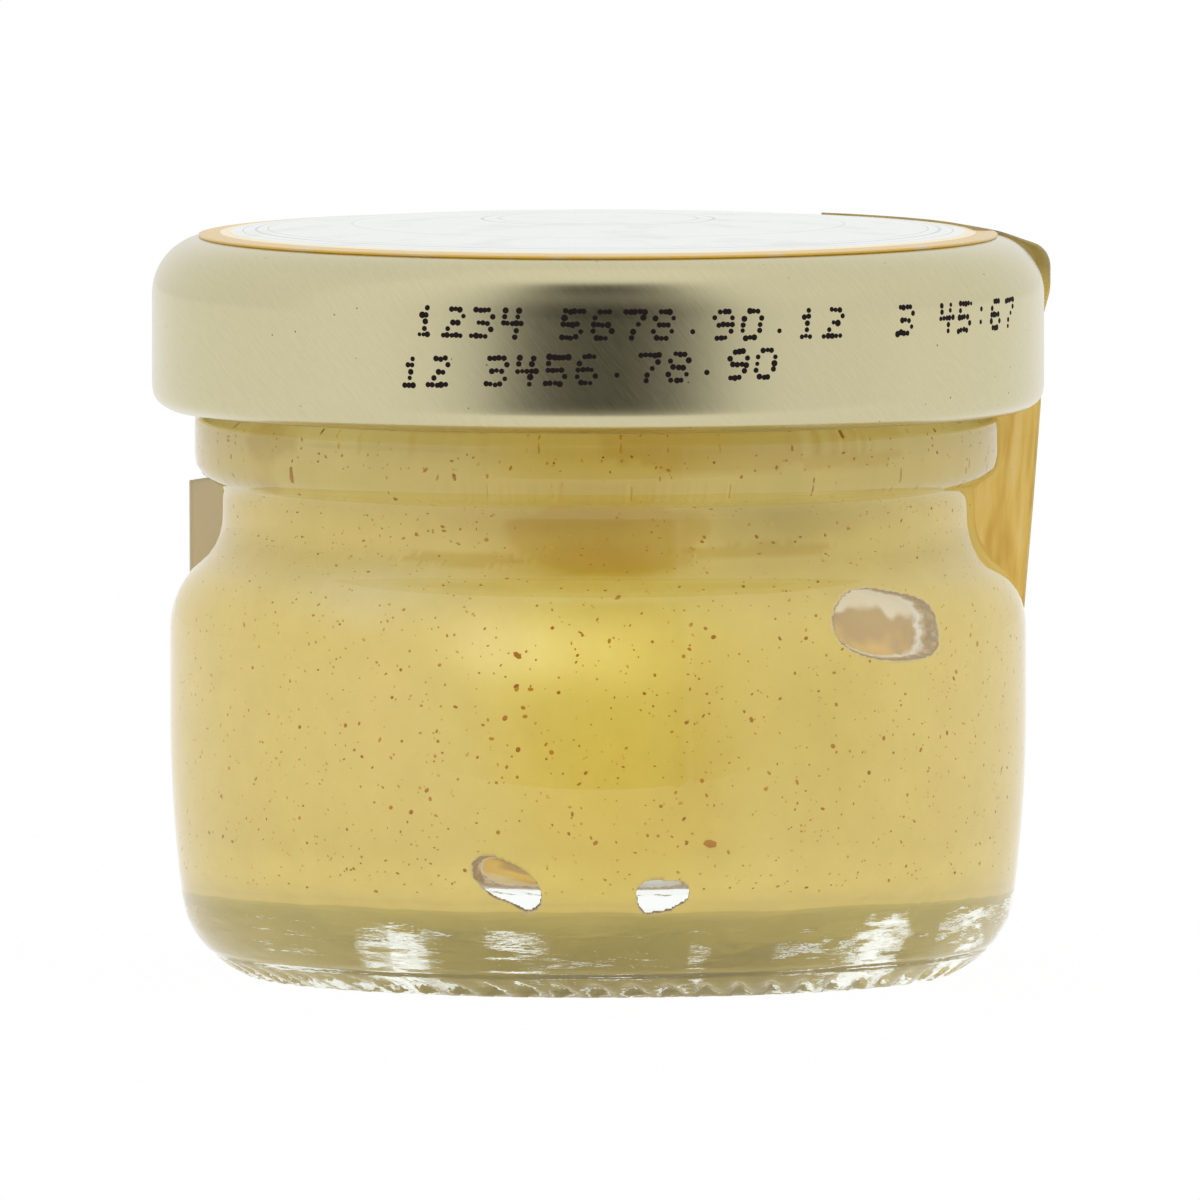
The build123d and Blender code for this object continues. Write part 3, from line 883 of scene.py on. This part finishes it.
code = ink_dots()
ink = bpy.data.materials.new("printing_ink")
ink.use_nodes = True
ink.node_tree.nodes["Principled BSDF"].inputs["Base Color"].default_value = (0.012, 0.007, 0.006, 1)
ink.node_tree.nodes["Principled BSDF"].inputs["Roughness"].default_value = 0.8
ink.node_tree.nodes["Principled BSDF"].inputs["Specular IOR Level"].default_value = 0.15
code.data.materials.append(ink)
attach(code, "root")

# ---------------------------------------------------------------------------
# The lid's label: a round of coated paper on the panel, with a gold border, in one
# piece with the seal strap that runs over the shoulder and down to the glass.

PAPER = 0.12                              # thickness, with its varnish and glue
ROUND_LABEL = PANEL_EDGE + 0.6
STRAP_WIDTH = 16.0
STRAP_TURN = math.radians(29)
STRAP_STAND_OFF = 0.55                    # how far it bulges clear of the lid's shoulder
STRAP_BEND = 1.2
STRAP_LANDING = 18.6                      # heights where it meets the glass, and where it ends
STRAP_END = 10.5
body_line = outside[outside[:, 1] < SHOULDER]


def over_lid(across, out):
    """Height of the lid's panel and shoulder at a radius, moved out: a parabola, then a round."""
    dome = PANEL + out + DOME * (1 - (across / PANEL_EDGE) ** 2)
    past = np.clip(across - PANEL_EDGE, 0, None)
    bend = PANEL - SHOULDER_ROUND + np.sqrt((SHOULDER_ROUND + out) ** 2 - past**2)
    return np.where(across < PANEL_EDGE, dome, bend)


across = np.concatenate([np.linspace(0, PANEL_EDGE, 40), np.linspace(PANEL_EDGE + 0.1, ROUND_LABEL, 7)])
upper = np.stack([across, over_lid(across, PAPER)], 1)
lower = np.stack([across, over_lid(across, 0.005)], 1)[::-1]
disc = piece("round_label", turned(np.concatenate([upper, lower]), lid_angles))


def strap_points():
    """The strap: one line of (radius, height), given thickness, swept across a constant width.

    A point's place v across the strap is kept, so its edges stay parallel: x = sqrt(r^2 - v^2), y = v."""
    bend = LID + STRAP_STAND_OFF
    line = rounded(
        [(ROUND_LABEL - 1.2, over_lid(np.array(ROUND_LABEL - 1.2), PAPER * 0.9)),
         (ROUND_LABEL + STRAP_STAND_OFF, PANEL - SHOULDER_ROUND / 15 + 0.04),
         (bend, PANEL - SHOULDER_ROUND / 3), (bend, PANEL - SHOULDER_ROUND),
         (LID + 0.02, PANEL - SHOULDER_ROUND * 1.6), (LID + 0.02, LID_BOTTOM),
         (BODY + 0.02, STRAP_LANDING), (BODY + 0.02, STRAP_END)],
        [STRAP_BEND * 2, STRAP_BEND, STRAP_BEND * 2, STRAP_BEND * 4, STRAP_BEND * 4, STRAP_BEND * 8])
    line = respaced(line, 0.2)
    along = np.gradient(line, axis=0)
    along /= np.linalg.norm(along, axis=1)[:, None]
    out = np.stack([-along[:, 1], along[:, 0]], 1)
    line[:, 0] -= np.where(line[:, 1] < STRAP_LANDING, BODY - np.interp(
        line[:, 1], body_line[:, 1], body_line[:, 0]), 0)
    ring = np.concatenate([line + out * PAPER, line[::-1]])
    v = np.linspace(-STRAP_WIDTH / 2, STRAP_WIDTH / 2, 41)[None]
    warp = 0.10 * np.sin(v * 0.5 + 0.6) * hump(ring[:, 1:] - 24.0, 3.5)
    r = ring[:, :1] + warp
    x, y, z = np.sqrt(r**2 - v**2), v + 0 * r, ring[:, 1:] + 0 * v
    c, s = math.cos(STRAP_TURN), math.sin(STRAP_TURN)
    return np.stack([x * c - y * s, x * s + y * c, z], -1)


strap_grid = strap_points()
strap = piece("seal_strap", np.concatenate([strap_grid, strap_grid[:1]]), closed_u=False)


def close_sides(made):
    """Fills the open edge loops at the two sides of a swept sheet."""
    shell = bmesh.new()
    shell.from_mesh(made.data)
    edges = [e for e in shell.edges if e.is_boundary]
    bmesh.ops.holes_fill(shell, edges=edges, sides=0)
    bmesh.ops.triangulate(shell, faces=[f for f in shell.faces if len(f.verts) > 4])
    bmesh.ops.recalc_face_normals(shell, faces=shell.faces)
    shell.to_mesh(made.data)
    shell.free()


close_sides(strap)


def label_face():
    """The round label's print: a pale field with thin rings, a faint rosette and a gold border."""
    material = bpy.data.materials.new("round_label_print")
    material.use_nodes = True
    nodes, links = material.node_tree.nodes, material.node_tree.links
    shader = nodes["Principled BSDF"]
    shader.inputs["Roughness"].default_value = 0.25
    place = nodes.new("ShaderNodeTexCoord")
    level = nodes.new("ShaderNodeVectorMath")
    level.operation = "MULTIPLY"
    level.inputs[1].default_value = (1 / MM, 1 / MM, 0)
    size = nodes.new("ShaderNodeVectorMath")
    size.operation = "LENGTH"
    links.new(place.outputs["Object"], level.inputs[0])
    links.new(level.outputs[0], size.inputs[0])
    share = nodes.new("ShaderNodeMath")
    share.operation = "DIVIDE"
    share.inputs[1].default_value = ROUND_LABEL + 0.1
    links.new(size.outputs["Value"], share.inputs[0])
    rings = nodes.new("ShaderNodeValToRGB")
    ramp = rings.color_ramp
    ramp.interpolation = "CONSTANT"
    pale, gray, cream = (0.84, 0.865, 0.835, 1), (0.56, 0.60, 0.62, 1), (0.93, 0.78, 0.45, 1)
    gold, sage = (0.70, 0.43, 0.05, 1), (0.70, 0.74, 0.68, 1)
    stops = [(0, pale), (5.0, sage), (5.25, pale), (5.9, gray), (6.0, pale), (12.6, sage), (12.75, pale),
             (16.9, gray), (17.0, pale), (17.5, gray), (17.68, pale), (18.2, gray), (18.28, pale),
             (18.9, cream), (19.45, gold)]
    ramp.elements[0].color = pale
    ramp.elements[1].position = stops[-1][0] / (ROUND_LABEL + 0.1)
    ramp.elements[1].color = gold
    for at, colour in stops[1:-1]:
        ramp.elements.new(at / (ROUND_LABEL + 0.1)).color = colour
    links.new(share.outputs[0], rings.inputs[0])
    petals = nodes.new("ShaderNodeTexNoise")
    petals.inputs["Scale"].default_value = 260
    petals.inputs["Detail"].default_value = 5
    links.new(place.outputs["Object"], petals.inputs["Vector"])
    faint = nodes.new("ShaderNodeMapRange")
    faint.inputs["From Min"].default_value = 0.52
    faint.inputs["From Max"].default_value = 0.66
    faint.inputs["To Max"].default_value = 0.30
    links.new(petals.outputs["Fac"], faint.inputs["Value"])
    wash = nodes.new("ShaderNodeMix")
    wash.data_type = "RGBA"
    wash.inputs["B"].default_value = (0.55, 0.60, 0.54, 1)
    links.new(faint.outputs[0], wash.inputs["Factor"])
    links.new(rings.outputs[0], wash.inputs["A"])
    links.new(wash.outputs["Result"], shader.inputs["Base Color"])
    return material


def strap_paper():
    """Ochre paper, thin enough to let some light through, with blurred darker print and pale patches, and
    painted shade high on the bulge over the lid's shoulder.
    """
    material = bpy.data.materials.new("strap_paper")
    material.use_nodes = True
    nodes, links = material.node_tree.nodes, material.node_tree.links
    shader = nodes["Principled BSDF"]
    shader.inputs["Roughness"].default_value = 0.45
    place = nodes.new("ShaderNodeTexCoord")
    turn = nodes.new("ShaderNodeMapping")
    turn.vector_type = "TEXTURE"
    turn.inputs["Rotation"].default_value = (0, 0, STRAP_TURN)
    long = nodes.new("ShaderNodeMapping")
    long.inputs["Scale"].default_value = (420, 700, 260)
    smear = nodes.new("ShaderNodeTexNoise")
    smear.inputs["Scale"].default_value = 1.0
    smear.inputs["Detail"].default_value = 4
    tone = nodes.new("ShaderNodeValToRGB")
    tone.color_ramp.elements[0].position = 0.34
    tone.color_ramp.elements[0].color = (0.86, 0.70, 0.33, 1)
    tone.color_ramp.elements[1].position = 0.52
    tone.color_ramp.elements[1].color = (0.95, 0.81, 0.42, 1)
    tone.color_ramp.elements.new(0.70).color = (0.97, 0.86, 0.56, 1)
    links.new(place.outputs["Object"], turn.inputs["Vector"])
    links.new(turn.outputs[0], long.inputs["Vector"])
    links.new(long.outputs[0], smear.inputs["Vector"])
    links.new(smear.outputs["Fac"], tone.inputs[0])
    # painted shade: the strap is darkened towards the top of the lid's shoulder, where it stands off the lid
    split = nodes.new("ShaderNodeSeparateXYZ")
    painted_shade_height = nodes.new("ShaderNodeMapRange")
    painted_shade_height.inputs["From Min"].default_value = (PANEL - SHOULDER_ROUND * 1.2) * MM
    painted_shade_height.inputs["From Max"].default_value = (PANEL - SHOULDER_ROUND * 0.6) * MM
    painted_shade = nodes.new("ShaderNodeMix")
    painted_shade.data_type = "RGBA"
    painted_shade.blend_type = "MULTIPLY"
    painted_shade.inputs["B"].default_value = (0.72, 0.74, 0.80, 1)
    links.new(place.outputs["Object"], split.inputs[0])
    links.new(split.outputs["Z"], painted_shade_height.inputs["Value"])
    links.new(painted_shade_height.outputs[0], painted_shade.inputs["Factor"])
    links.new(tone.outputs[0], painted_shade.inputs["A"])
    links.new(painted_shade.outputs["Result"], shader.inputs["Base Color"])
    through = nodes.new("ShaderNodeBsdfTranslucent")
    links.new(painted_shade.outputs["Result"], through.inputs["Color"])
    mix = nodes.new("ShaderNodeMixShader")
    mix.inputs[0].default_value = 0.72
    links.new(shader.outputs[0], mix.inputs[1])
    links.new(through.outputs[0], mix.inputs[2])
    links.new(mix.outputs[0], nodes["Material Output"].inputs[0])
    return material


disc.data.materials.append(label_face())
strap.data.materials.append(strap_paper())
for part in (disc, strap):
    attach(part, "root")
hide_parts("lid_label")

# ---------------------------------------------------------------------------
# The body label: a paper band round the back of the jar. It is stuck to the panel,
# and its upper edge stands free beside the shoulder and neck.

label_low, label_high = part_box("body_label")
BAND_FROM = math.radians(58)
BAND_TO = math.radians(162)
band_heights = np.linspace(label_low.z / MM, label_high.z / MM, 60)
band_inner = np.where(
    band_heights < SHOULDER - 2, np.interp(band_heights, body_line[:, 1], body_line[:, 0]), BODY) + 0.01
band_angles = np.linspace(BAND_FROM, BAND_TO, 120)
band_line = np.concatenate([
    np.stack([band_inner + PAPER, band_heights], 1), np.stack([band_inner, band_heights], 1)[::-1]])
ripple = 0.05 * np.sin(band_angles * 9)[None] * hump(band_line[:, 1:] - label_high.z / MM, 3)
band = piece("body_label_band",
             turned(np.concatenate([band_line, band_line[:1]]), band_angles,
                    np.concatenate([ripple, ripple[:1]])), closed_u=False)
close_sides(band)


def band_paper():
    """The band's print, on the outside only: cream with an ochre and a brown field. Its back is plain."""
    material = bpy.data.materials.new("body_label_print")
    material.use_nodes = True
    nodes, links = material.node_tree.nodes, material.node_tree.links
    shader = nodes["Principled BSDF"]
    shader.inputs["Roughness"].default_value = 0.4
    place = nodes.new("ShaderNodeTexCoord")
    split = nodes.new("ShaderNodeSeparateXYZ")
    level = nodes.new("ShaderNodeMapRange")
    level.inputs["From Min"].default_value = label_low.z
    level.inputs["From Max"].default_value = label_high.z
    fields = nodes.new("ShaderNodeValToRGB")
    ramp = fields.color_ramp
    ramp.interpolation = "CONSTANT"
    cream, ochre, brown = (0.83, 0.79, 0.66, 1), (0.60, 0.36, 0.06, 1), (0.12, 0.07, 0.03, 1)
    ramp.elements[0].color = ochre
    ramp.elements[1].position = 0.58
    ramp.elements[1].color = cream
    for at, colour in [(0.08, cream), (0.10, brown), (0.115, cream), (0.42, brown)]:
        ramp.elements.new(at).color = colour
    links.new(place.outputs["Object"], split.inputs[0])
    links.new(split.outputs["Z"], level.inputs["Value"])
    links.new(level.outputs[0], fields.inputs[0])
    outward = nodes.new("ShaderNodeAttribute")
    outward.attribute_name = "printed"
    side = nodes.new("ShaderNodeMix")
    side.data_type = "RGBA"
    side.inputs["A"].default_value = (0.78, 0.70, 0.54, 1)
    links.new(outward.outputs["Fac"], side.inputs["Factor"])
    links.new(fields.outputs[0], side.inputs["B"])
    links.new(side.outputs["Result"], shader.inputs["Base Color"])
    through = nodes.new("ShaderNodeBsdfTranslucent")
    links.new(side.outputs["Result"], through.inputs["Color"])
    mix = nodes.new("ShaderNodeMixShader")
    mix.inputs[0].default_value = 0.72
    links.new(shader.outputs[0], mix.inputs[1])
    links.new(through.outputs[0], mix.inputs[2])
    links.new(mix.outputs[0], nodes["Material Output"].inputs[0])
    return material


def mark_printed(made, centre_line):
    """Stores 1 on the vertices of the outer sheet and 0 on the inner one."""
    co = np.empty(len(made.data.vertices) * 3)
    made.data.vertices.foreach_get("co", co)
    co = co.reshape(-1, 3) / MM
    middle = np.interp(co[:, 2], centre_line[:, 1], centre_line[:, 0])
    value = (np.hypot(co[:, 0], co[:, 1]) > middle).astype(np.float32)
    made.data.attributes.new("printed", "FLOAT", "POINT").data.foreach_set("value", value)


mark_printed(band, np.stack([band_inner + PAPER / 2, band_heights], 1))
band.data.materials.append(band_paper())
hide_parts("body_label")
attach(band, "root")

# ---------------------------------------------------------------------------
# The studio: a white table and an even white surround. The darker room behind the
# camera shows in the metal only. This part belongs to no piece.

floor_mesh = bpy.data.meshes.new("floor")
SIDE = 4.0
TABLE_FRONT = -0.10                       # the table's edge towards the camera
floor_mesh.from_pydata(
    [(-SIDE, TABLE_FRONT, 0), (SIDE, TABLE_FRONT, 0), (SIDE, SIDE, 0), (-SIDE, SIDE, 0)], [], [(0, 1, 2, 3)])
floor = bpy.data.objects.new("floor", floor_mesh)
bpy.context.scene.collection.objects.link(floor)
material = bpy.data.materials.new("floor_white")
material.use_nodes = True
nodes, links = material.node_tree.nodes, material.node_tree.links
nodes.clear()
out = nodes.new("ShaderNodeOutputMaterial")
matte = nodes.new("ShaderNodeBsdfDiffuse")
matte.inputs["Color"].default_value = (0.9, 0.9, 0.9, 1)
glow = nodes.new("ShaderNodeEmission")
glow.inputs["Strength"].default_value = 1.0
path = nodes.new("ShaderNodeLightPath")
seen = nodes.new("ShaderNodeMath")
seen.operation = "MAXIMUM"
seen_more = nodes.new("ShaderNodeMath")
seen_more.operation = "MAXIMUM"
most = nodes.new("ShaderNodeMath")
most.operation = "MULTIPLY"
most.inputs[1].default_value = 0.98
mix = nodes.new("ShaderNodeMixShader")
links.new(path.outputs["Is Camera Ray"], seen.inputs[0])
links.new(path.outputs["Is Glossy Ray"], seen.inputs[1])
links.new(seen.outputs[0], seen_more.inputs[0])
links.new(path.outputs["Is Transmission Ray"], seen_more.inputs[1])
links.new(seen_more.outputs[0], most.inputs[0])
links.new(most.outputs[0], mix.inputs[0])
links.new(matte.outputs[0], mix.inputs[1])
links.new(glow.outputs[0], mix.inputs[2])
links.new(mix.outputs[0], out.inputs[0])
floor_mesh.materials.append(material)

world = bpy.data.worlds.new("studio")
bpy.context.scene.world = world
world.use_nodes = True


def surround():
    """White all round, with a darker room in front for what mirrors it.

    The room is darkest straight ahead, and it fades out on both sides by a ramp on the azimuth. It has a
    paler strip part of the way up, and ends below the lamp overhead. A ray that has passed through glass
    finds plain white, which keeps black flecks out of the jar's thick base."""
    nodes, links = world.node_tree.nodes, world.node_tree.links
    sky = nodes["Background"]
    place = nodes.new("ShaderNodeTexCoord")
    split = nodes.new("ShaderNodeSeparateXYZ")
    links.new(place.outputs["Generated"], split.inputs[0])
    forward = nodes.new("ShaderNodeMath")
    forward.operation = "MULTIPLY"
    forward.inputs[1].default_value = -1
    links.new(split.outputs["Y"], forward.inputs[0])
    azimuth = nodes.new("ShaderNodeMath")
    azimuth.operation = "ARCTAN2"
    links.new(split.outputs["X"], azimuth.inputs[0])
    links.new(forward.outputs[0], azimuth.inputs[1])
    part_round = nodes.new("ShaderNodeMapRange")
    part_round.inputs["From Min"].default_value = math.radians(-90)
    part_round.inputs["From Max"].default_value = math.radians(90)
    links.new(azimuth.outputs[0], part_round.inputs["Value"])
    room = nodes.new("ShaderNodeValToRGB")
    room.color_ramp.elements[0].position = 0
    room.color_ramp.elements[0].color = (0.08, 0.08, 0.08, 1)
    room.color_ramp.elements[1].position = (90 + 60) / 180
    room.color_ramp.elements[1].color = (0.07, 0.07, 0.07, 1)
    for at, value in [(-78, 0.0), (-58, 0.0), (-42, 0.10), (-31, 0.32), (-23, 0.70), (-15, 0.93), (-4, 1.0),
                      (6, 1.0), (13, 0.95), (22, 0.80), (30, 0.50), (38, 0.22), (47, 0.10)]:
        room.color_ramp.elements.new((90 + at) / 180).color = (value, value, value, 1)
    links.new(part_round.outputs[0], room.inputs[0])
    high = nodes.new("ShaderNodeValToRGB")
    high.color_ramp.elements[0].position = 0.38
    high.color_ramp.elements[0].color = (0.32, 0.31, 0.29, 1)
    high.color_ramp.elements[1].position = 0.982
    high.color_ramp.elements[1].color = (1, 1, 1, 1)
    for at, value in [(0.44, 0.13), (0.475, 0.055), (0.50, 0.05), (0.66, 0.07), (0.77, 0.17), (0.84, 0.19),
                      (0.90, 0.10), (0.955, 0.08)]:
        high.color_ramp.elements.new(at).color = (value, value * 0.98, value * 0.92, 1)
    raised = nodes.new("ShaderNodeMapRange")
    raised.inputs["From Min"].default_value = -1
    links.new(split.outputs["Z"], raised.inputs["Value"])
    links.new(raised.outputs[0], high.inputs[0])
    path = nodes.new("ShaderNodeLightPath")
    mirrored = nodes.new("ShaderNodeMath")
    mirrored.operation = "MULTIPLY"
    outside_glass = nodes.new("ShaderNodeMath")
    outside_glass.operation = "LESS_THAN"
    outside_glass.inputs[1].default_value = 0.5
    links.new(path.outputs["Transmission Depth"], outside_glass.inputs[0])
    first = nodes.new("ShaderNodeMath")
    first.operation = "MULTIPLY"
    links.new(path.outputs["Is Glossy Ray"], first.inputs[0])
    links.new(outside_glass.outputs[0], first.inputs[1])
    links.new(first.outputs[0], mirrored.inputs[0])
    links.new(room.outputs[0], mirrored.inputs[1])
    mix = nodes.new("ShaderNodeMix")
    mix.data_type = "RGBA"
    mix.inputs["A"].default_value = (1, 1, 1, 1)
    links.new(mirrored.outputs[0], mix.inputs["Factor"])
    links.new(high.outputs[0], mix.inputs["B"])
    links.new(mix.outputs["Result"], sky.inputs["Color"])
    sky.inputs["Strength"].default_value = 1.0


surround()

# The camera stands well back with a long lens, a little above the lid.
DISTANCE = 2.4                            # all four in metres
EYE = 0.176
AIM = (0.0001, 0.0, 0.01924)
VIEW_WIDTH = 0.0619
camera_data = bpy.data.cameras.new("camera")
camera_data.sensor_width = 36
away = math.dist((AIM[0], -DISTANCE, EYE), AIM)
camera_data.lens = 36 * away / VIEW_WIDTH
camera_data.clip_end = 20
camera = bpy.data.objects.new("camera", camera_data)
camera.location = (AIM[0], -DISTANCE, EYE)
camera.rotation_euler = (math.pi / 2 - math.atan2(EYE - AIM[2], DISTANCE), 0, 0)
bpy.context.scene.collection.objects.link(camera)
bpy.context.scene.camera = camera
bpy.context.scene.view_settings.view_transform = "Standard"
